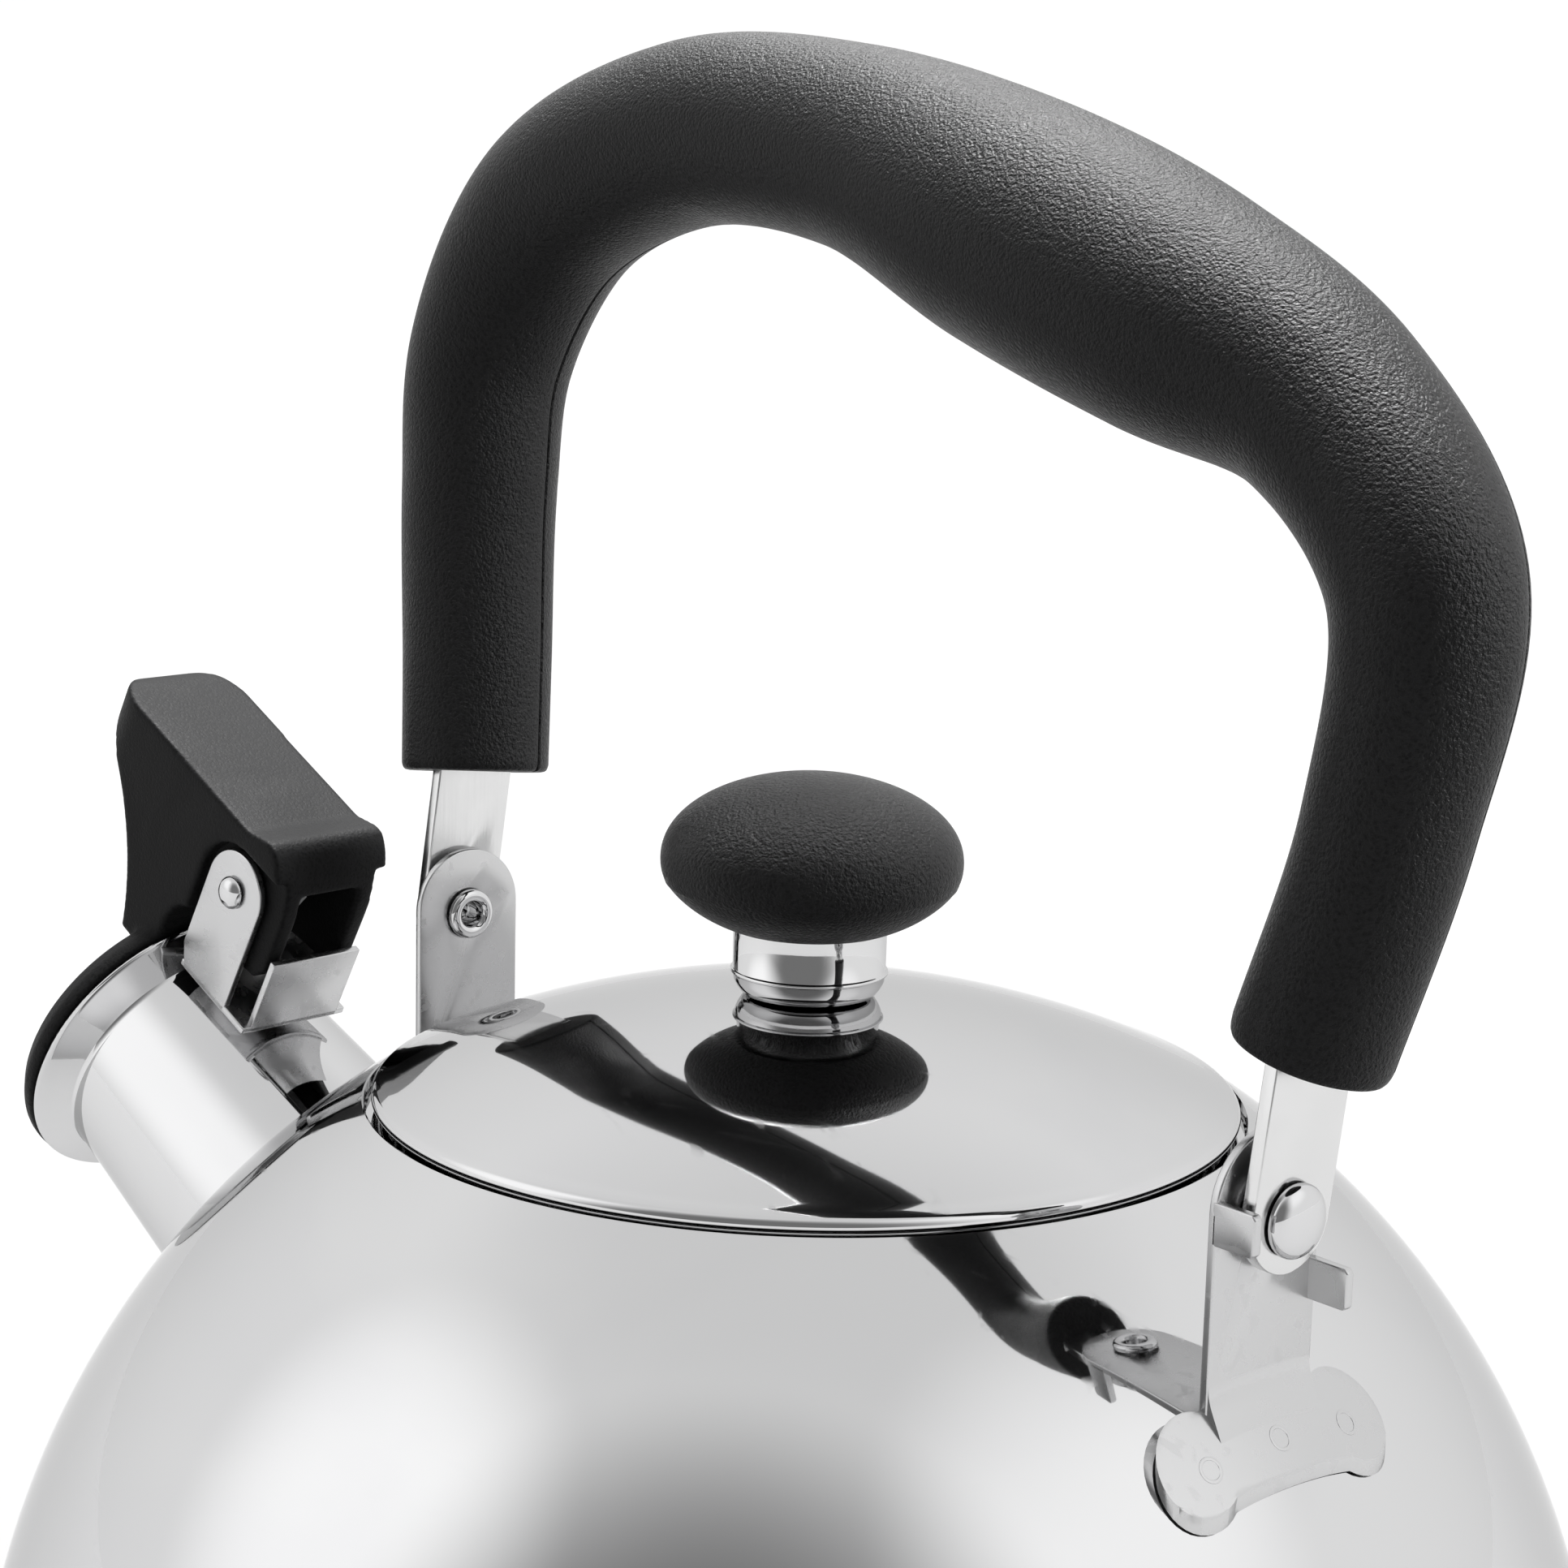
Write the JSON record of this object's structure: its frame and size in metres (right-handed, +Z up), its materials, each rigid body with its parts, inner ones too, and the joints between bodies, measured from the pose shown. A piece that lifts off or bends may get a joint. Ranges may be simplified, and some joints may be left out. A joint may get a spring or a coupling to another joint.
{
  "type": "stovetop whistling kettle",
  "caption": "Ball-shaped steel stovetop kettle with a folding bail handle, lift-off domed lid and a stubby spout closed by a sprung whistle lever.",
  "frame": {"origin": "centre of the flat underside of the base, on the axis of the round body", "axes": "+Z up; the handle pivots about a line 1.3 degrees off X that drops towards the rear, with the spout on the -X side, turned 7 degrees towards -Y"},
  "size_m": [0.2638, 0.217, 0.2753],
  "materials": {
    "polished_steel": "mirror-polished stainless steel",
    "satin_steel": "satin stainless steel",
    "aluminium_core": "plain rolled aluminium",
    "black_phenolic": "black phenolic with a fine sand grain"
  },
  "bodies": {
    "kettle": {"body_shell": "polished_steel", "base_pan": "polished_steel", "heat_disc": "aluminium_core", "base_capsule": "satin_steel", "spout_tube": "polished_steel", "bracket_front": "polished_steel", "pivot_washer_front": "satin_steel", "pivot_rivet_front": "polished_steel", "bracket_rear": "polished_steel", "pivot_washer_rear": "satin_steel", "pivot_rivet_rear": "polished_steel", "whistle_bracket": "polished_steel", "hinge_pin": "polished_steel", "lever_spring": "satin_steel"},
    "handle": {"bail_strap": "satin_steel", "grip_main": "black_phenolic", "grip_cover": "black_phenolic", "grip_screw_front": "satin_steel", "grip_screw_rear": "satin_steel"},
    "lid": {"lid_dome": "polished_steel", "lid_collar": "satin_steel", "knob_ferrule": "polished_steel", "knob": "black_phenolic", "knob_washer": "satin_steel", "knob_screw": "satin_steel"},
    "lever": {"whistle_lever": "black_phenolic", "whistle_cup": "satin_steel", "whistle_disc": "satin_steel"}
  },
  "joints": [
    {"name": "handle_fold", "type": "hinge", "parent": "kettle", "child": "handle", "pos_m": [0, 0, 0.1447], "axis": [-0.9997, 0, 0.0227], "range_deg": [-23, 83]},
    {"name": "lid_lift", "type": "slide", "parent": "kettle", "child": "lid", "axis": [0, 0, 1], "range_m": [0, 0.055]},
    {"name": "lever_press", "type": "hinge", "parent": "kettle", "child": "lever", "pos_m": [-0.10964, -0.01346, 0.14704], "axis": [-0.1219, 0.9925, 0], "range_deg": [0, 35], "stiffness_Nm_per_rad": 0.12, "springref_deg": -34.38}
  ]
}
